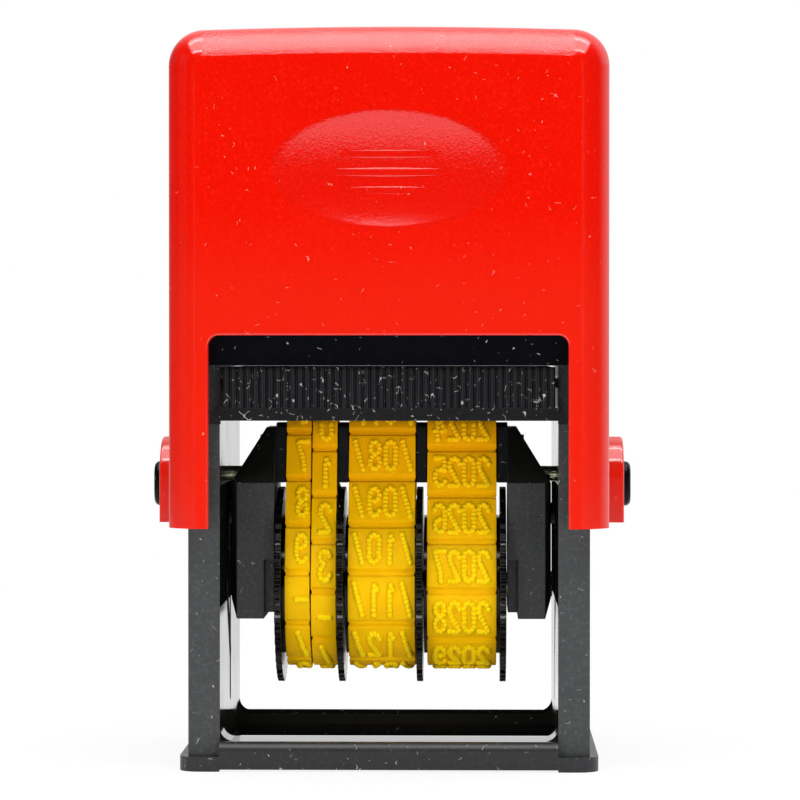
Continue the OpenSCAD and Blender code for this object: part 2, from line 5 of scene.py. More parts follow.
import bmesh
import bpy
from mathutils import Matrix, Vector

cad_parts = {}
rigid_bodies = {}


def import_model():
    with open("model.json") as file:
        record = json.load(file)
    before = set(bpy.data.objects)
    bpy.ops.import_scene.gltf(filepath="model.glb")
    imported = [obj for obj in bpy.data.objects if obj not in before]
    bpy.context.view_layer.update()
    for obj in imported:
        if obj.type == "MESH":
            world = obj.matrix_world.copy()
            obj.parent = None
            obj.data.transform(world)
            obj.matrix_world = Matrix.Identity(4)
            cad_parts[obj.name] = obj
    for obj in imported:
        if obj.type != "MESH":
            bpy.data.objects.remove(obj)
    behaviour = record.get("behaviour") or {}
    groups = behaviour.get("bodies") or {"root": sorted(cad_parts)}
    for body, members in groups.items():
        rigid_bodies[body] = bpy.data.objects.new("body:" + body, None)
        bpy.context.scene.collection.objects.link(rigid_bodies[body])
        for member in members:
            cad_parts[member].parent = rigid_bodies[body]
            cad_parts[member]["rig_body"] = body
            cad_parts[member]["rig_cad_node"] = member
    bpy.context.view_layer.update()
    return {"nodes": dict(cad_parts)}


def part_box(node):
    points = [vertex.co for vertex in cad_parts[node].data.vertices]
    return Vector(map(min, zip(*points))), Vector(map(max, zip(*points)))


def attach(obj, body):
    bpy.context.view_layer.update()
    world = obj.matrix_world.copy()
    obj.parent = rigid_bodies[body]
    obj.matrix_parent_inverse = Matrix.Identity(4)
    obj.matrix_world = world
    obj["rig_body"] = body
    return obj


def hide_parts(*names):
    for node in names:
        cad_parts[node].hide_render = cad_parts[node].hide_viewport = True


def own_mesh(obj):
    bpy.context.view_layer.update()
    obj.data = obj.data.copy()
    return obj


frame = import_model()
# Sizes are typed in millimetres unless a comment says otherwise, and used in metres.
MM = 0.001
# How near points lie that count as level, and that are merged.
NEAR = 0.01
MERGE, MERGE_FINE, MERGE_FINEST = 0.002, 0.001, 0.0005


# Hand tools: each acts on one piece, with everything else deselected.

def pick_only(*pieces):
    bpy.ops.object.select_all(action="DESELECT")
    for piece in pieces:
        piece.select_set(True)
    bpy.context.view_layer.objects.active = pieces[0]


def open_mesh(piece):
    pick_only(piece)
    bpy.ops.object.mode_set(mode="EDIT")
    bpy.ops.mesh.select_all(action="DESELECT")


def close_mesh():
    bpy.ops.object.mode_set(mode="OBJECT")


def choose_faces(piece, wanted):
    """Select the faces whose middle and normal pass the test, in millimetres."""
    bpy.ops.mesh.select_mode(type="FACE")
    bpy.ops.mesh.select_all(action="DESELECT")
    mesh = bmesh.from_edit_mesh(piece.data)
    for face in mesh.faces:
        face.select_set(bool(wanted(face.calc_center_median() / MM, face.normal)))
    bmesh.update_edit_mesh(piece.data)


def choose_edges(piece, wanted):
    """Select the edges whose two ends pass the test, in millimetres."""
    bpy.ops.mesh.select_mode(type="EDGE")
    bpy.ops.mesh.select_all(action="DESELECT")
    mesh = bmesh.from_edit_mesh(piece.data)
    for edge in mesh.edges:
        edge.select_set(bool(wanted(edge.verts[0].co / MM, edge.verts[1].co / MM)))
    bmesh.update_edit_mesh(piece.data)


def place_in_mesh(piece):
    pick_only(piece)
    bpy.ops.object.transform_apply(location=True, rotation=True, scale=True)


def new_block(name, low, high):
    """A block between two corners in millimetres."""
    low, high = Vector(low), Vector(high)
    bpy.ops.object.select_all(action="DESELECT")
    bpy.ops.mesh.primitive_cube_add(size=1, location=(low + high) / 2 * MM, scale=(high - low) * MM)
    piece = bpy.context.object
    piece.name = name
    place_in_mesh(piece)
    return piece


def round_edges(piece, wanted, radius, steps, profile=0.5):
    open_mesh(piece)
    choose_edges(piece, wanted)
    bpy.ops.mesh.bevel(offset=radius * MM, segments=steps, profile=profile, affect="EDGES",
                       clamp_overlap=False)
    close_mesh()


def cut_across(piece, axis, places):
    """Cut the whole mesh at planes across one axis, in millimetres."""
    normal = Vector((axis == "x", axis == "y", axis == "z"))
    open_mesh(piece)
    for place in places:
        bpy.ops.mesh.select_all(action="SELECT")
        bpy.ops.mesh.bisect(plane_co=normal * place * MM, plane_no=normal)
    close_mesh()


def use_modifier(piece, kind, **settings):
    pick_only(piece)
    modifier = piece.modifiers.new(kind.lower(), kind)
    for name, value in settings.items():
        setattr(modifier, name, value)
    bpy.ops.object.modifier_apply(modifier=modifier.name)


def combine(piece, tool, operation):
    use_modifier(piece, "BOOLEAN", operation=operation, object=tool, solver="EXACT")
    bpy.data.objects.remove(tool)


def clean_mesh(piece, merge, flat=None):
    open_mesh(piece)
    bpy.ops.mesh.select_all(action="SELECT")
    bpy.ops.mesh.remove_doubles(threshold=merge * MM)
    if flat:
        bpy.ops.mesh.dissolve_limited(angle_limit=math.radians(flat))
    close_mesh()


def smooth(piece, angle, weigh=True):
    pick_only(piece)
    bpy.ops.object.shade_smooth_by_angle(angle=math.radians(angle), keep_sharp_edges=True)
    if weigh:
        use_modifier(piece, "WEIGHTED_NORMAL", keep_sharp=True)


def finish_piece(piece, body, slot, finish, *nodes):
    piece.data.materials.clear()
    piece.data.materials.append(finish)
    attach(piece, body)
    if nodes:
        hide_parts(*nodes)
    return piece


def paint_faces(piece, finishes, chosen):
    """Add finishes; chosen gives a face's finish by its middle and normal, or None to leave it."""
    for finish in finishes:
        piece.data.materials.append(finish)
    for face in piece.data.polygons:
        finish = chosen(face.center / MM, face.normal)
        if finish is not None:
            face.material_index = 1 + finishes.index(finish)


def softened_copy(node, name, radius):
    """A copy of a solid whose sharp edges are rounded as a mould leaves them."""
    steps, angle = 2, 35
    pick_only(frame["nodes"][node])
    bpy.ops.object.duplicate()
    piece = bpy.context.object
    bpy.ops.object.parent_clear(type="CLEAR_KEEP_TRANSFORM")
    piece.name = name
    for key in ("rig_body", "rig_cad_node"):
        del piece[key]
    pick_only(piece)
    bpy.ops.mesh.customdata_custom_splitnormals_clear()
    clean_mesh(piece, MERGE, 0.6)
    if radius:
        use_modifier(piece, "BEVEL", width=radius * MM, segments=steps, limit_method="ANGLE",
                     angle_limit=math.radians(angle), use_clamp_overlap=True,
                     miter_outer="MITER_ARC")
        clean_mesh(piece, MERGE_FINEST)
    smooth(piece, angle)
    return piece


# Finishes.

def add_node(tree, kind, inputs=None, **settings):
    made = tree.nodes.new(kind)
    for name, value in settings.items():
        setattr(made, name, value)
    for name, value in (inputs or {}).items():
        if isinstance(value, bpy.types.NodeSocket):
            tree.links.new(value, made.inputs[name])
        else:
            made.inputs[name].default_value = value
    return made


def math_node(tree, operation, first, second=0.0, third=0.0):
    made = add_node(tree, "ShaderNodeMath", {0: first, 1: second, 2: third}, operation=operation)
    return made.outputs[0]


def between(tree, value, low, high, to_low=0.0, to_high=1.0):
    """Map a value smoothly from one span to another."""
    made = add_node(tree, "ShaderNodeMapRange", {"Value": value, "From Min": low, "From Max": high,
                                                 "To Min": to_low, "To Max": to_high},
                    interpolation_type="SMOOTHSTEP")
    return made.outputs["Result"]


def noise(tree, where, size, detail, stretch=None):
    """Noise whose blobs are about size millimetres across."""
    if stretch:
        where = add_node(tree, "ShaderNodeMapping", {"Vector": where, "Scale": stretch}).outputs[0]
    made = add_node(tree, "ShaderNodeTexNoise", {"Vector": where, "Scale": 1000.0 / size,
                                                 "Detail": detail, "Roughness": 0.55})
    return made.outputs["Fac"]


def mix_colour(tree, share, first, second):
    made = add_node(tree, "ShaderNodeMix", data_type="RGBA")
    for name, value in (("Factor", share), ("A", first), ("B", second)):
        sockets = [s for s in made.inputs if s.name == name and s.enabled]
        if isinstance(value, bpy.types.NodeSocket):
            tree.links.new(value, sockets[0])
        else:
            sockets[0].default_value = value
    return [s for s in made.outputs if s.enabled][0]


def lint(tree, where, share):
    """Specks and short fibres of dust that lie on a surface."""
    cells_per_metre, fibre_length, fibre_patch, fibre_share = 1800.0, 1.0, 0.65, 0.012
    cells = add_node(tree, "ShaderNodeTexVoronoi", {"Vector": where, "Scale": cells_per_metre})
    pick = add_node(tree, "ShaderNodeSeparateColor", {"Color": cells.outputs["Color"]})
    kept = math_node(tree, "GREATER_THAN", pick.outputs[0], 1.0 - share ** 3)
    size = math_node(tree, "MULTIPLY_ADD", pick.outputs[1], 0.10, 0.03)
    speck = math_node(tree, "LESS_THAN", cells.outputs["Distance"], size)
    speck = math_node(tree, "MULTIPLY", speck, kept)
    line = math_node(tree, "SUBTRACT", noise(tree, where, fibre_length, 0.0), 0.5)
    line = math_node(tree, "LESS_THAN", math_node(tree, "ABSOLUTE", line), fibre_share)
    patch = noise(tree, where, fibre_patch, 0.0)
    patch = math_node(tree, "GREATER_THAN", patch, 0.80 - share * 0.22)
    fibre = math_node(tree, "MULTIPLY", line, patch)
    return math_node(tree, "MAXIMUM", speck, fibre)


def new_finish(name, roughness, specular=0.5):
    finish = bpy.data.materials.new(name)
    finish.use_nodes = True
    tree = finish.node_tree
    shader = tree.nodes["Principled BSDF"]
    shader.inputs["Roughness"].default_value = roughness
    shader.inputs["Specular IOR Level"].default_value = specular
    where = add_node(tree, "ShaderNodeTexCoord").outputs["Object"]
    return finish, tree, shader, where


def bump(tree, shader, height, depth, strength):
    made = add_node(tree, "ShaderNodeBump", {"Height": height, "Distance": depth * MM,
                                             "Strength": strength})
    tree.links.new(made.outputs[0], shader.inputs["Normal"])


# Where a finish changes, in metres: at a half width for the corners, at heights for the rest.
CORNER_FROM, CORNER_TO = 0.0213, 0.0217
# The painted haze of floor reflection on the red fades out between these heights.
PAINTED_HAZE_FROM, PAINTED_HAZE_TO = 0.052, 0.068
CALM_FROM, CALM_TO = 0.0640, 0.0680
RIBS_FROM = 0.0422
SHADE_FROM, SHADE_TO = 0.0464, 0.0470
BAND_SHADE_FROM, BAND_SHADE_TO = 0.024, 0.040
RED_DUST = (0.95, 0.70, 0.64, 1)
GREY_DUST = (0.6, 0.6, 0.58, 1)
BLACK = (0, 0, 0, 1)
WHITE = (1, 1, 1, 1)


def red_moulding_finish(name, specular, grain_size=0.36, grain_depth=0.024, low_grain=1.0):
    """Pebbled red, turned more orange low down by a painted haze of floor reflection; smoother at
    the corners; low_grain calms the dish's foot.
    """
    finish, tree, shader, where = new_finish(name, 0.16, specular)
    split = add_node(tree, "ShaderNodeSeparateXYZ", {"Vector": where})
    across, up = math_node(tree, "ABSOLUTE", split.outputs[0]), split.outputs[2]
    corner = between(tree, across, CORNER_FROM, CORNER_TO)
    grain = noise(tree, where, grain_size, 2.0)
    cloud = noise(tree, where, 9.0, 3.0)
    colour = mix_colour(tree, cloud, (0.695, 0.0042, 0.0006, 1), (0.735, 0.0060, 0.0010, 1))
    peak = between(tree, grain, 0.50, 0.80)
    colour = mix_colour(tree, peak, colour, (0.80, 0.0120, 0.0040, 1))
    # Painted haze: the red turns more orange low down, standing in for the floor's reflection.
    painted_haze = between(tree, up, PAINTED_HAZE_FROM, PAINTED_HAZE_TO, 0.85, 0.0)
    colour = mix_colour(tree, painted_haze, colour, (0.72, 0.0150, 0.0050, 1))
    dust = math_node(tree, "MULTIPLY", lint(tree, where, 0.06), 0.25)
    colour = mix_colour(tree, dust, colour, RED_DUST)
    tree.links.new(colour, shader.inputs["Base Color"])
    pits = math_node(tree, "SUBTRACT", grain, 0.5)
    rough = between(tree, corner, 0.0, 1.0, 0.13, 0.12)
    rough = math_node(tree, "MULTIPLY_ADD", pits, 0.06, rough)
    tree.links.new(rough, shader.inputs["Roughness"])
    height = math_node(tree, "MULTIPLY", pits, between(tree, corner, 0.0, 1.0, 1.0, 0.12))
    calm = between(tree, up, CALM_FROM, CALM_TO, low_grain, 1.0)
    height = math_node(tree, "MULTIPLY", height, calm)
    bump(tree, shader, height, grain_depth, 0.9)
    return finish


def black_moulding_finish(name, base, roughness, grain_depth, dust_share, specular=0.5, highlight_pitch=None):
    """Mottled, dusty black; highlight_pitch is the pitch of painted highlight lines down the ribs,
    whose tops also get painted shade.
    """
    finish, tree, shader, where = new_finish(name, roughness, specular)

    def toned(share):
        return tuple(c * share for c in base) + (1,)

    grain = noise(tree, where, 0.22, 3.0)
    cloud = noise(tree, where, 6.0, 3.0)
    colour = mix_colour(tree, cloud, toned(0.85), toned(1.15))
    speckle = between(tree, noise(tree, where, 0.5, 4.0), 0.45, 0.75)
    colour = mix_colour(tree, speckle, colour, toned(1.6))
    if highlight_pitch:
        # Painted highlights: lighter lines down the ribs stand in for light on their edges; painted
        # shade darkens their tops under the fascia.
        split = add_node(tree, "ShaderNodeSeparateXYZ", {"Vector": where})
        turn = math_node(tree, "MULTIPLY", split.outputs[0], 2 * math.pi / (highlight_pitch * MM))
        highlight_wave = between(tree, math_node(tree, "SINE", turn), -0.4, 1.0)
        ribbed = math_node(tree, "GREATER_THAN", split.outputs[2], RIBS_FROM)
        painted_highlight = math_node(tree, "MULTIPLY", highlight_wave, ribbed)
        colour = mix_colour(tree, painted_highlight, colour, toned(3.4))
        shade = between(tree, split.outputs[2], SHADE_FROM, SHADE_TO, 0.0, 0.8)
        colour = mix_colour(tree, shade, colour, BLACK)
    dust = math_node(tree, "MULTIPLY", lint(tree, where, dust_share), 0.65)
    colour = mix_colour(tree, dust, colour, GREY_DUST)
    tree.links.new(colour, shader.inputs["Base Color"])
    mottle = math_node(tree, "SUBTRACT", cloud, 0.5)
    rough = math_node(tree, "MULTIPLY_ADD", mottle, 0.14, roughness)
    tree.links.new(rough, shader.inputs["Roughness"])
    bump(tree, shader, grain, grain_depth, 0.5)
    return finish


def rubber_finish(name, base, worn):
    """Dull rubber, painted more orange towards the top as shade under the tray's lip."""
    finish, tree, shader, where = new_finish(name, 0.55, 0.08)
    grain = noise(tree, where, 0.16, 3.0)
    cloud = noise(tree, where, 2.4, 3.0)
    colour = mix_colour(tree, between(tree, cloud, 0.3, 0.7), base, worn)
    split = add_node(tree, "ShaderNodeSeparateXYZ", {"Vector": where})
    # Painted shade: the rubber turns more orange towards the top, where the tray's lip shades the
    # bands.
    high = between(tree, split.outputs[2], BAND_SHADE_FROM, BAND_SHADE_TO)
    shaded_tone = (base[0], base[1] * 0.84, base[2], 1)
    colour = mix_colour(tree, high, colour, shaded_tone)
    tree.links.new(colour, shader.inputs["Base Color"])
    rough = between(tree, grain, 0.2, 0.8, 0.46, 0.64)
    tree.links.new(rough, shader.inputs["Roughness"])
    bump(tree, shader, grain, 0.012, 0.5)
    return finish


def steel_finish(name, dark, light):
    finish, tree, shader, where = new_finish(name, 0.22)
    shader.inputs["Metallic"].default_value = 1.0
    drawn = noise(tree, where, 0.3, 4.0, (0.04, 1.0, 1.0))
    colour = mix_colour(tree, drawn, dark, light)
    tree.links.new(colour, shader.inputs["Base Color"])
    tree.links.new(between(tree, drawn, 0.3, 0.7, 0.16, 0.30), shader.inputs["Roughness"])
    bump(tree, shader, drawn, 0.004, 0.4)
    return finish


def felt_finish():
    finish, tree, shader, where = new_finish("inked_felt", 0.95, 0.2)
    hairs = noise(tree, where, 0.35, 6.0)
    soak = noise(tree, where, 5.0, 3.0)
    colour = mix_colour(tree, soak, (0.012, 0.012, 0.016, 1), (0.030, 0.030, 0.038, 1))
    tree.links.new(colour, shader.inputs["Base Color"])
    tree.links.new(between(tree, hairs, 0.3, 0.7, 0.80, 1.0), shader.inputs["Roughness"])
    bump(tree, shader, hairs, 0.12, 0.8)
    return finish


# Red finishes: specular level, and the grain's size, depth and low share where they are its own.
RED = red_moulding_finish("red_moulding", 0.85)
RED_PANEL = red_moulding_finish("red_panel", 0.10)
RED_CORNER = red_moulding_finish("red_corner", 0.40)
RED_BROW = red_moulding_finish("red_brow", 0.85, 0.20, 0.075)
RED_DISH = red_moulding_finish("red_dish", 0.85, 0.30, 0.038, 0.45)
# Black finishes: colour, roughness, depth of grain, share of dust, specular level, pitch of painted
# highlight lines.
FRAME_BLACK = black_moulding_finish("frame_black", (0.040, 0.044, 0.045), 0.46, 0.012, 0.45)
BASE_BLACK = black_moulding_finish("base_black", (0.016, 0.017, 0.0185), 0.40, 0.012, 0.45)
# The fascia is the frame's black painted far darker, as painted shade under the cover's window
# edge.
FASCIA_SHADE_BLACK = black_moulding_finish("fascia_painted_shade_black", (0.002, 0.002, 0.004), 0.30, 0.006, 0.30, 0.10)
POLISHED_BLACK = black_moulding_finish("polished_black", (0.006, 0.006, 0.006), 0.12, 0.002,
                                       0.30, 0.7)
TRAY_BLACK = black_moulding_finish("tray_black", (0.011, 0.012, 0.013), 0.36, 0.010, 0.35, 0.2)
# The rib fronts carry painted highlight lines and painted shade at their tops.
RIB_BLACK = black_moulding_finish("rib_black", (0.006, 0.0062, 0.007), 0.34, 0.010, 0.80, 0.25,
                                  0.284)
HEAD_BLACK = black_moulding_finish("head_black", (0.052, 0.054, 0.054), 0.50, 0.020, 0.10)
# Painted shade: a darker black for faces that lie in shade, the cheeks' upper slopes and the base's
# faces behind.
SHADED_SLOPE_BLACK = black_moulding_finish("slope_black_painted_shade", (0.005, 0.005, 0.004), 0.36, 0.010, 0.10, 0.3)
WHEEL_BLACK = black_moulding_finish("wheel_black", (0.002, 0.002, 0.002), 0.16, 0.004, 0.10, 0.25)
# A dull, dark black put where the walls and the base's back bar lie in shade: painted shade.
DULL_SHADE_BLACK = black_moulding_finish("dull_black_painted_shade", (0.004, 0.006, 0.004), 0.60, 0.004, 0.20, 0.0)
EDGE_BLACK = black_moulding_finish("edge_black", (0.050, 0.050, 0.054), 0.60, 0.004, 0.10, 0.0)
CAP_BLACK = black_moulding_finish("cap_black", (0.002, 0.002, 0.002), 0.24, 0.004, 0.10, 0.15)
BAND_YELLOW = rubber_finish("band_yellow", (0.87, 0.49, 0.0004, 1), (0.92, 0.54, 0.0008, 1))
# The type is the band's rubber painted lighter, a painted highlight for the light on the bead tops.
LIT_TYPE_YELLOW = rubber_finish("type_yellow_painted_lit", (1.0, 0.67, 0.0020, 1), (1.0, 0.72, 0.0040, 1))
STEEL = steel_finish("bright_steel", (0.55, 0.55, 0.53, 1), (0.72, 0.72, 0.70, 1))
PLATED_STEEL = steel_finish("plated_steel", (0.82, 0.84, 0.54, 1), (0.95, 0.96, 0.72, 1))
FELT = felt_finish()


# Cover.

COVER_HALF = 25.6
COVER_HALF_D = 21.11
COVER_LOW = 28.3
COVER_TOP = 86.5
COVER_WALL = 1.8
CROWN = 0.5
TOP_ROUND = 4.0
FRONT_ROUND = 3.3
WINDOW_HALF = 20.8
WINDOW_TOP = 50.65
WINDOW_ROUND = 1.2
WINDOW_LIP = 0.25
DISH_Z = 69.8
DISH_DEPTH = 0.8
DISH_HALF_W = 13.6
DISH_HALF_H = 7.0
BAR_HALF_W = 7.5
BAR_HEIGHT = 1.10
BAR_TAPER = 0.63
BAR_SLOPE = 0.16
BAR_RISE = 0.15
BAR_HEIGHTS = (67.40, 69.51, 71.62)
PIVOT_Z = 34.0
BOSS_X = 27.9
BOSS_R = 4.9
BOSS_Z = PIVOT_Z - 0.4
BOSS_ROUND = 0.35


def thumb_dish_tool(side):
    """An egg whose tip sinks into the cover's front or back."""
    deep = 6.0
    spread = math.sqrt(1 - ((deep - DISH_DEPTH) / deep) ** 2)
    bpy.ops.object.select_all(action="DESELECT")
    bpy.ops.mesh.primitive_uv_sphere_add(
        segments=96, ring_count=72, radius=MM, rotation=(math.pi / 2, 0, 0),
        location=(0, side * (COVER_HALF_D + deep - DISH_DEPTH) * MM, DISH_Z * MM),
        scale=(DISH_HALF_W / spread, DISH_HALF_H / spread, deep))
    tool = bpy.context.object
    place_in_mesh(tool)
    return tool


def grip_bar(side, z):
    """A bar with sloped long edges, so that its face keeps BAR_TAPER of its height."""
    front = COVER_HALF_D - DISH_DEPTH + BAR_RISE
    ends = sorted((side * (front - BAR_SLOPE), side * (front - COVER_WALL / 2)))
    bar = new_block("grip_bar", (-BAR_HALF_W, ends[0], z - BAR_HEIGHT / 2),
                    (BAR_HALF_W, ends[1], z + BAR_HEIGHT / 2))
    open_mesh(bar)
    choose_faces(bar, lambda p, n: n.y * side > 0.9)
    bpy.ops.mesh.extrude_region_move(
        TRANSFORM_OT_translate={"value": (0, side * BAR_SLOPE * MM, 0)})
    bpy.ops.transform.resize(value=(1, 1, BAR_TAPER),
                             center_override=(0, side * front * MM, z * MM))
    close_mesh()
    return bar


def pivot_boss(side):
    """A boss with an arched top and a level lower edge."""
    inner = COVER_HALF - COVER_WALL / 2
    bpy.ops.object.select_all(action="DESELECT")
    bpy.ops.mesh.primitive_cylinder_add(
        vertices=64, radius=BOSS_R * MM, depth=(BOSS_X - inner) * MM, rotation=(0, math.pi / 2, 0),
        location=(side * (inner + BOSS_X) / 2 * MM, 0, BOSS_Z * MM))
    boss = bpy.context.object
    place_in_mesh(boss)
    open_mesh(boss)
    bpy.ops.mesh.select_all(action="SELECT")
    bpy.ops.mesh.bisect(plane_co=(0, 0, BOSS_Z * MM), plane_no=(0, 0, 1), use_fill=True,
                        clear_inner=True)
    choose_faces(boss, lambda p, n: n.z < -0.9)
    bpy.ops.mesh.extrude_region_move(
        TRANSFORM_OT_translate={"value": (0, 0, (COVER_LOW - BOSS_Z) * MM)})
    bpy.ops.mesh.select_all(action="SELECT")
    bpy.ops.mesh.normals_make_consistent(inside=False)
    close_mesh()
    clean_mesh(boss, MERGE, 0.5)

    def outer_rim(a, b):
        outside = all(abs(abs(p.x) - BOSS_X) < NEAR for p in (a, b))
        return outside and max(a.z, b.z) > COVER_LOW + NEAR

    round_edges(boss, outer_rim, BOSS_ROUND, 3)
    return boss


def cover_finish(place, normal):
    """Flats shine less than roundings; the brow and the front dish have a grain of their own."""
    front = abs(normal.y) > 0.9999 and abs(place.y) > COVER_HALF_D - NEAR
    flank = abs(normal.x) > 0.999 and COVER_HALF - NEAR < abs(place.x) < COVER_HALF + NEAR
    if front or flank or normal.z > 0.97:
        return RED_PANEL
    in_brow = (place.z > COVER_TOP - TOP_ROUND - 0.5
               and abs(place.y) > COVER_HALF_D - FRONT_ROUND - 0.1)
    if in_brow and abs(normal.y) > 0.02:
        return RED_BROW
    in_dish = (abs(place.y) > COVER_HALF_D - DISH_DEPTH - 0.2
               and abs(place.x) < DISH_HALF_W + 0.4 and abs(place.z - DISH_Z) < DISH_HALF_H + 1)
    if in_dish:
        return RED_DISH if place.y < 0 else RED_CORNER
    if COVER_HALF - TOP_ROUND - 0.1 < abs(place.x) < COVER_HALF + NEAR:
        return RED_CORNER
    return None


def make_cover():
    """A crowned shell with a window and a thumb dish in front and behind, and two bosses."""
    shoulder = COVER_TOP - 6
    reach, below = 30, 20

    def top_sides(a, b):
        return min(a.z, b.z) > COVER_TOP - NEAR and abs(a.y - b.y) > reach

    def face_rims(a, b):
        in_face = abs(abs(a.y) - COVER_HALF_D) < NEAR and abs(a.y - b.y) < NEAR
        return in_face and max(a.z, b.z) > COVER_LOW + NEAR

    def window_corners(a, b):
        return min(a.z, b.z) > WINDOW_TOP - NEAR and abs(a.y - b.y) > reach

    def window_rims(a, b):
        in_window = all(
            abs(abs(p.y) - COVER_HALF_D) < NEAR and abs(p.x) < WINDOW_HALF + NEAR
            and p.z < WINDOW_TOP + NEAR for p in (a, b))
        return in_window and max(a.z, b.z) > COVER_LOW + 0.5

    cover = new_block("cover_moulding", (-COVER_HALF, -COVER_HALF_D, COVER_LOW),
                      (COVER_HALF, COVER_HALF_D, COVER_TOP))
    round_edges(cover, top_sides, TOP_ROUND, 14)
    round_edges(cover, face_rims, FRONT_ROUND, 9, 0.40)
    cut_across(cover, "x", range(-20, 21, 4))
    open_mesh(cover)
    mesh = bmesh.from_edit_mesh(cover.data)
    for corner in mesh.verts:
        if corner.co.z > shoulder * MM:
            corner.co.z -= CROWN * MM * (corner.co.x / (COVER_HALF * MM)) ** 2
    bmesh.update_edit_mesh(cover.data)
    choose_faces(cover, lambda p, n: n.z < -0.9)
    bpy.ops.mesh.delete(type="FACE")
    close_mesh()
    use_modifier(cover, "SOLIDIFY", thickness=COVER_WALL * MM, offset=-1, use_even_offset=True)
    window = new_block("window_tool", (-WINDOW_HALF, -reach, below),
                       (WINDOW_HALF, reach, WINDOW_TOP))
    round_edges(window, window_corners, WINDOW_ROUND, 10)
    combine(cover, window, "DIFFERENCE")
    for side in (-1, 1):
        combine(cover, thumb_dish_tool(side), "DIFFERENCE")
        for z in BAR_HEIGHTS:
            combine(cover, grip_bar(side, z), "UNION")
    for side in (-1, 1):
        combine(cover, pivot_boss(side), "UNION")
    clean_mesh(cover, MERGE_FINE)
    round_edges(cover, window_rims, WINDOW_LIP, 8)
    smooth(cover, 14)
    finish_piece(cover, "cover_body", "red_plastic", RED, "cover")
    paint_faces(cover, (RED_PANEL, RED_CORNER, RED_BROW, RED_DISH), cover_finish)
    return cover


make_cover()


# Black mouldings and steel pieces, softened from the solids.

def make_frame():
    """The walls are polished inside, with a dull, darker band of painted shade part way up; the
    fascia is painted darker as shade.
    """
    dull_low, dull_high = 19.0, 33.2
    wall_inside, fascia_y, fascia_z = 21.5, 17.0, 46.8

    def frame_finish(place, normal):
        if abs(normal.x) > 0.7 and abs(place.x) < wall_inside:
            # Painted shade: a dull, darker band part way up the walls.
            return DULL_SHADE_BLACK if dull_low < place.z < dull_high else POLISHED_BLACK
        # Painted shade: the fascia is painted far darker than the frame.
        if abs(place.y) > fascia_y and place.z > fascia_z:
            return EDGE_BLACK if normal.z < -0.2 else FASCIA_SHADE_BLACK
        return None

    piece = softened_copy("frame", "frame_moulding", 0.18)
    cut_across(piece, "z", (dull_low, dull_high))
    smooth(piece, 35)
    finish_piece(piece, "frame_body", "black_plastic", FRAME_BLACK, "frame")
    paint_faces(piece, (POLISHED_BLACK, FASCIA_SHADE_BLACK, DULL_SHADE_BLACK, EDGE_BLACK), frame_finish)
    return piece


make_frame()


def make_base():
    """The opening's sides are polished in front and painted darker behind as shade, and the back
    bar's top is dull and dark as painted shade.
    """
    back_bar_y, bar_half = 15, 21
    opening_half, opening_half_d, sole = 19.8, 18.4, 0.5

    def base_finish(place, normal):
        # Painted shade on the back bar's top and on the opening's faces behind.
        if place.y > back_bar_y and abs(place.x) < bar_half and normal.z > 0.2:
            return DULL_SHADE_BLACK
        if place.z > sole and abs(place.x) < opening_half and abs(place.y) < opening_half_d:
            return SHADED_SLOPE_BLACK if place.y > 0 else POLISHED_BLACK
        return None

    piece = softened_copy("base_ring", "base_moulding", 0.15)
    finish_piece(piece, "frame_body", "black_plastic", BASE_BLACK, "base_ring")
    paint_faces(piece, (POLISHED_BLACK, SHADED_SLOPE_BLACK, DULL_SHADE_BLACK), base_finish)
    return piece


make_base()


def make_cheek(side_name):
    """One side of the print head, painted darker where it faces up, as shade under the cover."""
    piece = softened_copy(side_name + "_cheek", side_name + "_cheek_moulding", 0.2)
    finish_piece(piece, "head", "black_plastic", HEAD_BLACK, side_name + "_cheek")
    paint_faces(piece, (SHADED_SLOPE_BLACK,), lambda p, n: SHADED_SLOPE_BLACK if n.z > 0.2 else None)
    return piece


def make_tray():
    """The ink tray, its top raised a little towards the deck, with a ribbed front."""
    rib_y, rim, fit = -17.0, 0.07, 0.035
    piece = softened_copy("ink_tray", "tray_moulding", 0.06)
    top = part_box("ink_tray")[1].z / MM
    open_mesh(piece)
    choose_faces(piece, lambda p, n: p.z > top - rim)
    bpy.ops.transform.translate(value=(0, 0, fit * MM))
    close_mesh()
    finish_piece(piece, "tray", "black_plastic", TRAY_BLACK, "ink_tray")
    paint_faces(piece, (RIB_BLACK,), lambda p, n: RIB_BLACK if n.y < -0.2 and p.y < rib_y else None)
    return piece


def make_rod_cap(side_name):
    """A cap whose outer rim is rounded like a button's."""
    node, rim_round = "rod_cap_" + side_name, 0.65
    piece = softened_copy(node, side_name + "_rod_cap", 0)
    outer = max(abs(corner.x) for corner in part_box(node)) / MM
    round_edges(piece, lambda a, b: min(abs(a.x), abs(b.x)) > outer - NEAR, rim_round, 6)
    smooth(piece, 50)
    return finish_piece(piece, "cover_body", "black_plastic", CAP_BLACK, node)


make_tray()
for side_name in ("left", "right"):
    make_cheek(side_name)
    make_rod_cap(side_name)
for node, name, radius, body, slot, finish in (
        ("platen", "platen_moulding", 0.08, "head", "black_plastic", TRAY_BLACK),
        ("pivot_rod", "pivot_rod_steel", 0.15, "cover_body", "steel", PLATED_STEEL),
        ("wheel_shaft", "wheel_shaft_steel", 0.2, "head", "steel", STEEL)):
    finish_piece(softened_copy(node, name, radius), body, slot, finish, node)
for wheel in ("units", "tens", "month", "year"):
    thumbwheel = softened_copy(wheel + "_wheel", wheel + "_thumbwheel", 0.06)
    finish_piece(thumbwheel, wheel, "wheel_plastic", WHEEL_BLACK, wheel + "_wheel")


# Date bands: a strip of pads is made flat, then bent round the path of the band.

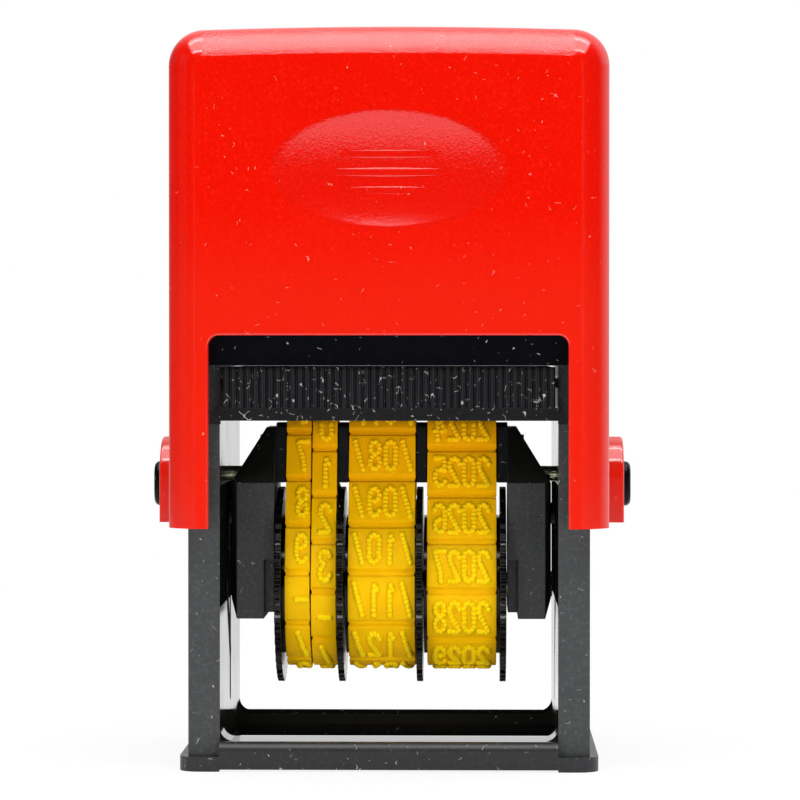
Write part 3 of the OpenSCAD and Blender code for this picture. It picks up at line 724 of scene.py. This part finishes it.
STRAP = 0.75
PAD = 0.45
TYPE_RISE = 0.35
PAD_COUNT = 13
GROOVE = 0.5
FLARE = 0.25
GROOVE_INSET = 0.13
GROOVE_SLOPE = 0.06
PAD_ROUND = 0.1
WHEEL_Z = 20.6
LOOP_R = 8.65
EDGE_R = 1.2
EDGE_Y = 1.6
PLATEN_TOP = 40.25
EDGE_Z = PLATEN_TOP - EDGE_R
RISE = EDGE_Z - WHEEL_Z
SPAN = math.hypot(EDGE_Y, RISE)
LEAN = math.atan2(RISE, EDGE_Y) - math.acos((LOOP_R - EDGE_R) / SPAN)
RUN = math.sqrt(SPAN ** 2 - (LOOP_R - EDGE_R) ** 2)
AT_EDGE = EDGE_Y + (math.pi / 2 - LEAN) * (EDGE_R + STRAP / 2)
AT_WHEEL = AT_EDGE + RUN
HALF_LOOP = AT_WHEEL + (LEAN + math.pi / 2) * (LOOP_R + STRAP / 2)
PITCH = 2 * HALF_LOOP / PAD_COUNT


def band_point(along, out):
    """Y and Z of a point on a band, by its place along the loop and its height."""
    along = (along + HALF_LOOP) % (2 * HALF_LOOP) - HALF_LOOP
    place = abs(along)
    if place <= EDGE_Y:
        turn, y, z = math.pi / 2, place, PLATEN_TOP
    elif place <= AT_EDGE:
        turn = math.pi / 2 - (place - EDGE_Y) / (EDGE_R + STRAP / 2)
        y, z = EDGE_Y + EDGE_R * math.cos(turn), EDGE_Z + EDGE_R * math.sin(turn)
    elif place <= AT_WHEEL:
        turn = LEAN
        y = EDGE_Y + EDGE_R * math.cos(turn) + (place - AT_EDGE) * math.sin(turn)
        z = EDGE_Z + EDGE_R * math.sin(turn) - (place - AT_EDGE) * math.cos(turn)
    else:
        turn = LEAN - (place - AT_WHEEL) / (LOOP_R + STRAP / 2)
        y, z = LOOP_R * math.cos(turn), WHEEL_Z + LOOP_R * math.sin(turn)
    y, z = y + out * math.cos(turn), z + out * math.sin(turn)
    return (-y if along > 0 else y), z


def bend_round_band(piece, turned):
    open_mesh(piece)
    mesh = bmesh.from_edit_mesh(piece.data)
    for corner in mesh.verts:
        y, z = band_point(corner.co.y / MM + turned, corner.co.z / MM)
        corner.co.y, corner.co.z = y * MM, z * MM
    bmesh.update_edit_mesh(piece.data)
    bpy.ops.mesh.select_all(action="SELECT")
    bpy.ops.mesh.remove_doubles(threshold=MERGE * MM)
    bpy.ops.mesh.normals_make_consistent(inside=False)
    close_mesh()


def make_band(name, low_x, high_x, turned):
    """One pad is made flat, repeated along a strip and bent round the loop."""
    half, middle = PITCH / 2, (low_x + high_x) / 2
    groove_at = half - GROOVE / 2
    groove_end = groove_at + GROOVE_SLOPE
    top = STRAP + PAD - NEAR
    band = new_block(name + "_band_rubber", (low_x, -half, 0), (high_x, half, STRAP))
    cut_across(band, "y", (-groove_end, -groove_at, groove_at, groove_end))
    open_mesh(band)
    choose_faces(band, lambda p, n: n.z > 0.9 and abs(p.y) < groove_at)
    bpy.ops.mesh.extrude_region_move(TRANSFORM_OT_translate={"value": (0, 0, PAD * MM)})
    bpy.ops.transform.resize(value=(1, 1 - 2 * FLARE / (PITCH - GROOVE), 1),
                             center_override=(middle * MM, 0, (STRAP + PAD) * MM))
    choose_faces(band, lambda p, n: abs(n.y) > 0.9 and abs(p.y) > half - NEAR)
    bpy.ops.mesh.delete(type="FACE")
    mesh = bmesh.from_edit_mesh(band.data)
    for corner in mesh.verts:
        if abs(corner.co.y) > (groove_at + GROOVE_SLOPE / 2) * MM:
            inwards = 1 if corner.co.x < middle * MM else -1
            corner.co.x += GROOVE_INSET * MM * inwards
    bmesh.update_edit_mesh(band.data)
    close_mesh()
    round_edges(band, lambda a, b: min(a.z, b.z) > top, PAD_ROUND, 2)
    cut_across(band, "y", [half * k / 8 for k in range(-7, 8)])
    use_modifier(band, "ARRAY", count=PAD_COUNT, use_relative_offset=False,
                 use_constant_offset=True, constant_offset_displace=(0, PITCH * MM, 0),
                 use_merge_vertices=True, merge_threshold=MERGE * MM)
    bend_round_band(band, turned)
    smooth(band, 35)
    return finish_piece(band, "head", "yellow_rubber", BAND_YELLOW, name + "_band")


# Characters are rows of beads along strokes, on a grid three steps wide and eight high.
# BEAD_GAP, GRID_MIDDLE and STROKES are in steps.
STEP = 0.43
STEP_ACROSS = 0.39
BEAD_GAP = 1.17
BEAD_R = 0.385
BEAD_SINK = 0.05
BEAD_OVER = 0.08
BEAD_APART = 0.25
GRID_MIDDLE = (1.5, 4)
STROKES = {
    "0": [[(1.5, 0), (2.5, .5), (3, 1.6), (3, 6.4), (2.5, 7.5), (1.5, 8), (.5, 7.5), (0, 6.4),
           (0, 1.6), (.5, .5), (1.5, 0)]],
    "1": [[(.7, 1.5), (1.6, 0), (1.6, 8)]],
    "2": [[(0, 1.7), (.5, .5), (1.5, 0), (2.5, .5), (3, 1.7), (2.7, 3.1), (0, 8), (3, 8)]],
    "3": [[(0, 1.4), (.5, .4), (1.5, 0), (2.5, .4), (3, 1.8), (2.5, 3.2), (1.4, 3.8),
           (2.5, 4.4), (3, 6), (2.5, 7.5), (1.5, 8), (.5, 7.6), (0, 6.6)]],
    "4": [[(2.2, 8), (2.2, 0), (0, 5.6), (3, 5.6)]],
    "5": [[(2.8, 0), (.3, 0), (.1, 3.6), (1.5, 3.2), (2.5, 3.8), (3, 5.4), (2.5, 7.3), (1.5, 8),
           (.5, 7.6), (0, 6.8)]],
    "6": [[(2.9, 1.4), (2.4, .4), (1.5, 0), (.5, .6), (0, 2.2), (0, 6.2), (.5, 7.5), (1.5, 8),
           (2.5, 7.5), (3, 6.2), (2.5, 4.8), (1.5, 4.2), (.5, 4.7)]],
    "7": [[(0, 0), (3, 0), (2.3, 2.6), (1.4, 5.2), (1.1, 8)]],
    "8": [[(1.5, 3.8), (.5, 3.1), (.1, 1.8), (.5, .5), (1.5, 0), (2.5, .5), (2.9, 1.8),
           (2.5, 3.1), (1.5, 3.8), (.4, 4.6), (0, 6.1), (.5, 7.5), (1.5, 8), (2.5, 7.5),
           (3, 6.1), (2.6, 4.6), (1.5, 3.8)]],
    "9": [[(.1, 6.6), (.6, 7.6), (1.5, 8), (2.5, 7.4), (3, 5.8), (3, 1.8), (2.5, .5), (1.5, 0),
           (.5, .5), (0, 1.8), (.5, 3.2), (1.5, 3.8), (2.5, 3.3)]],
    "/": [[(2.7, 0), (.3, 8)]],
    "-": [[(0, 4), (3, 4)]],
}


def bead_places(stroke):
    """Evenly spaced places along a stroke, about one grid step apart."""
    legs = [(Vector(a), Vector(b)) for a, b in zip(stroke, stroke[1:])]
    total = sum((b - a).length for a, b in legs)
    count = max(1, round(total / BEAD_GAP))
    closed = stroke[0] == stroke[-1]
    places = []
    for k in range(count if closed else count + 1):
        left = total * k / count
        for a, b in legs:
            if left <= (b - a).length + 1e-6:
                places.append(a + (b - a) * (left / (b - a).length))
                break
            left -= (b - a).length
    return places


def make_bead():
    """A dome of rubber, flat side down and sunk a little into its pad."""
    low = STRAP + PAD - BEAD_SINK
    round_z = STRAP + PAD + TYPE_RISE + BEAD_OVER - BEAD_R
    bpy.ops.object.select_all(action="DESELECT")
    bpy.ops.mesh.primitive_uv_sphere_add(segments=12, ring_count=8, radius=BEAD_R * MM,
                                         location=(0, 0, round_z * MM))
    bead = bpy.context.object
    place_in_mesh(bead)
    open_mesh(bead)
    bpy.ops.mesh.select_all(action="SELECT")
    bpy.ops.mesh.bisect(plane_co=(0, 0, low * MM), plane_no=(0, 0, 1), use_fill=True,
                        clear_inner=True)
    close_mesh()
    return bead


def copies_at(pattern, places, name):
    """Copies of a pattern at places in millimetres, joined into one piece."""
    made = []
    for x, y in places:
        pick_only(pattern)
        bpy.ops.object.duplicate()
        bpy.ops.transform.translate(value=(x * MM, y * MM, 0))
        made.append(bpy.context.object)
    pick_only(*made)
    bpy.ops.object.join()
    joined = bpy.context.object
    joined.name = name
    place_in_mesh(joined)
    return joined


def make_characters():
    """One flat, mirrored pattern of each character."""
    bead = make_bead()
    patterns = {}
    for sign, strokes in STROKES.items():
        dots = []
        for stroke in strokes:
            for dot in bead_places(stroke):
                spot = ((GRID_MIDDLE[0] - dot.x) * STEP_ACROSS, (dot.y - GRID_MIDDLE[1]) * STEP)
                if all((Vector(spot) - Vector(d)).length > BEAD_APART for d in dots):
                    dots.append(spot)
        patterns[sign] = copies_at(bead, dots, "type_pattern")
    bpy.data.objects.remove(bead)
    return patterns


def make_type(name, patterns, centre, spacing, turned, words):
    """The characters of a band, laid flat pad by pad and bent round it."""
    rows = []
    for pad, word in enumerate(words):
        for k, sign in enumerate(word):
            place = (centre + ((len(word) - 1) / 2 - k) * spacing, pad * PITCH)
            rows.append(copies_at(patterns[sign], [place], "type_row"))
    pick_only(*rows)
    bpy.ops.object.join()
    piece = bpy.context.object
    piece.name = name + "_type"
    bend_round_band(piece, turned)
    smooth(piece, 60, False)
    return finish_piece(piece, "head", "yellow_rubber", LIT_TYPE_YELLOW)


# How far along its loop a band stands, and the words on its pads.
NEAR_SET = 1.43
FAR_SET = -2.3
UNITS = ["6", "7", "8", "9", "-", "/", "0", "1", "2", "3", "4", "5", ""]
TENS = ["", "0", "1", "2", "3", "-", "/", "0", "1", "2", "3", "-", "/"]
MONTHS = ["/%02d/" % m if m else "/--/" for m in (7, 8, 9, 10, 11, 12, 1, 2, 3, 4, 5, 6, 0)]
YEARS = [str(2023 + k) for k in range(PAD_COUNT)]
characters = make_characters()
# Each band's place on its loop and words, and the words' shift and spacing across it.
for band_name, turned, words, shift, spacing in (
        ("units", NEAR_SET, UNITS, 0.5, 1.8),
        ("tens", FAR_SET, TENS, 0.15, 1.8),
        ("month", NEAR_SET, MONTHS, 0.08, 1.90),
        ("year", FAR_SET, YEARS, 0.0, 1.74)):
    low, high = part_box(band_name + "_band")
    make_band(band_name, low.x / MM, high.x / MM, turned)
    make_type(band_name, characters, (low.x + high.x) / 2 / MM + shift, spacing, turned, words)
for pattern in characters.values():
    bpy.data.objects.remove(pattern)


# Return spring: one wire, wound from the deck to the roof with closed ends.

def make_spring():
    low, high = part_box("return_spring")
    wire, radius, turns, steps = 0.5, 6.2, 7, 28
    bottom, top = low.z / MM + wire, high.z / MM - wire
    end_rise = 1.5
    middle_rise = (top - bottom - 2 * end_rise) / (turns - 2)
    line = bpy.data.curves.new("spring_wire", "CURVE")
    line.dimensions = "3D"
    line.bevel_depth = wire * MM
    line.bevel_resolution = 3
    line.use_fill_caps = True
    path = line.splines.new("POLY")
    path.points.add(turns * steps)
    for k, point in enumerate(path.points):
        u = k / steps
        if u < 1:
            z = bottom + u * end_rise
        elif u > turns - 1:
            z = top - (turns - u) * end_rise
        else:
            z = bottom + end_rise + (u - 1) * middle_rise
        turn = 2 * math.pi * u
        point.co = (radius * math.cos(turn) * MM, radius * math.sin(turn) * MM, z * MM, 1)
    piece = bpy.data.objects.new("return_spring_wire", line)
    bpy.context.scene.collection.objects.link(piece)
    pick_only(piece)
    bpy.ops.object.convert(target="MESH")
    piece = bpy.context.object
    clean_mesh(piece, MERGE_FINE)
    smooth(piece, 50, False)
    finish_piece(piece, "frame_body", "steel", STEEL, "return_spring")
    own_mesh(piece)
    return piece


make_spring()


# Ink pad: a felt block with a soft, crowned underside.

def make_ink_pad():
    low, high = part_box("ink_pad")
    pad = new_block("ink_pad_felt", low / MM, high / MM)
    rounding, crown = 0.5, 0.35
    round_edges(pad, lambda a, b: True, rounding, 3)
    half_w, half_d = (high.x - low.x) / 2 / MM, (high.y - low.y) / 2 / MM
    cut_across(pad, "x", [half_w * k / 12 for k in range(-11, 12)])
    cut_across(pad, "y", [half_d * k / 10 for k in range(-9, 10)])
    open_mesh(pad)
    mesh = bmesh.from_edit_mesh(pad.data)
    middle = (low.z + high.z) / 2
    for corner in mesh.verts:
        if corner.co.z < middle:
            across = (corner.co.x / MM / half_w) ** 4
            along = (corner.co.y / MM / half_d) ** 4
            corner.co.z += crown * MM * min(1.0, across + along)
    bmesh.update_edit_mesh(pad.data)
    close_mesh()
    smooth(pad, 50, False)
    finish_piece(pad, "tray", "ink_felt", FELT, "ink_pad")
    return pad


make_ink_pad()


# Stage, light and camera.

def make_floor():
    """A pale round table; its own light rises to plain white towards the rim."""
    bpy.ops.object.select_all(action="DESELECT")
    bpy.ops.mesh.primitive_circle_add(vertices=96, radius=0.55, fill_type="NGON",
                                      location=(0, 0, 0))
    floor = bpy.context.object
    floor.name = "floor"
    finish = bpy.data.materials.new("pale_floor")
    finish.use_nodes = True
    tree = finish.node_tree
    tree.nodes.remove(tree.nodes["Principled BSDF"])
    where = add_node(tree, "ShaderNodeTexCoord").outputs["Object"]
    away = add_node(tree, "ShaderNodeVectorMath", {0: where}, operation="LENGTH").outputs["Value"]
    rays = add_node(tree, "ShaderNodeLightPath").outputs
    seen = math_node(tree, "MAXIMUM", rays["Is Camera Ray"], rays["Is Transmission Ray"])
    share = math_node(tree, "MULTIPLY", seen, between(tree, away, 0.05, 0.30, 0.86, 1.0))
    mirrored = between(tree, away, 0.04, 0.14)
    mirrored = math_node(tree, "MULTIPLY", rays["Is Glossy Ray"], mirrored)
    share = math_node(tree, "MAXIMUM", share, mirrored)
    matte = add_node(tree, "ShaderNodeBsdfDiffuse", {"Color": (0.9, 0.9, 0.9, 1)}).outputs[0]
    glow = add_node(tree, "ShaderNodeEmission", {"Color": WHITE, "Strength": 1.0}).outputs[0]
    mixed = add_node(tree, "ShaderNodeMixShader", {0: share, 1: matte, 2: glow})
    tree.links.new(mixed.outputs[0], tree.nodes["Material Output"].inputs["Surface"])
    floor.data.materials.append(finish)
    return floor


def light_studio():
    """A white backdrop that lights less from the front and the left, and seven lamps."""
    world = bpy.data.worlds.new("studio")
    bpy.context.scene.world = world
    world.use_nodes = True
    tree = world.node_tree
    tree.nodes.clear()
    rays = add_node(tree, "ShaderNodeLightPath").outputs
    seen = math_node(tree, "MAXIMUM", rays["Is Camera Ray"], rays["Is Transmission Ray"])
    way = add_node(tree, "ShaderNodeTexCoord").outputs["Generated"]
    split = add_node(tree, "ShaderNodeSeparateXYZ", {"Vector": way})
    behind = between(tree, split.outputs[1], -0.05, 0.45, 0.02, 1.0)
    right = between(tree, split.outputs[0], -0.8, -0.2, 0.1, 1.0)
    level = math_node(tree, "MULTIPLY", behind, right)
    studio = add_node(tree, "ShaderNodeBackground", {"Color": WHITE, "Strength": level}).outputs[0]
    white = add_node(tree, "ShaderNodeBackground", {"Color": WHITE, "Strength": 1.0}).outputs[0]
    mixed = add_node(tree, "ShaderNodeMixShader", {0: seen, 1: studio, 2: white})
    output = add_node(tree, "ShaderNodeOutputWorld")
    tree.links.new(mixed.outputs[0], output.inputs["Surface"])
    target = Vector((0, 0, 0.05))
    # Place and size in metres, watts, whether it lights, and whether it shows in reflections.
    for name, place, size, power, lights, shines in (
            ("top_softbox", (0.0, -0.22, 0.85), (1.3, 0.9), 12.0, True, True),
            ("brow_strip", (0.0, -0.62, 0.82), (1.2, 0.03), 2.4, False, True),
            ("crown_strip", (0.0, 0.02, 0.90), (1.2, 0.05), 1.8, False, True),
            ("dish_glint", (-0.008, -0.70, 0.425), (0.04, 0.04), 0.05, True, True),
            ("left_fill", (-0.46, -0.88, 0.10), (0.4, 0.18), 2.3, True, False),
            ("right_fill", (0.46, -0.88, 0.10), (0.4, 0.18), 2.3, True, False),
            ("left_strip", (-0.68, -0.18, 0.18), (0.37, 0.6), 0.08, True, True)):
        lamp = bpy.data.lights.new(name, "AREA")
        lamp.shape = "RECTANGLE"
        lamp.size, lamp.size_y = size
        lamp.energy = power
        holder = bpy.data.objects.new(name, lamp)
        bpy.context.scene.collection.objects.link(holder)
        holder.location = place
        holder.visible_diffuse = lights
        holder.visible_glossy = shines
        aim = target - Vector(place)
        holder.rotation_euler = aim.to_track_quat("-Z", "Y").to_euler()


def place_camera():
    """The photograph's view, from just right of the middle and level with the window's top."""
    lens = bpy.data.cameras.new("photo_camera")
    lens.lens = 157.9
    lens.sensor_width = 36
    lens.clip_start, lens.clip_end = 0.01, 20
    camera = bpy.data.objects.new("photo_camera", lens)
    bpy.context.scene.collection.objects.link(camera)
    camera.location = (0.0097, -0.4256, 0.049)
    camera.rotation_euler = (math.radians(90 - 0.82), 0, math.radians(1.18))
    bpy.context.scene.camera = camera


make_floor()
light_studio()
place_camera()
bpy.context.scene.view_settings.view_transform = "Standard"
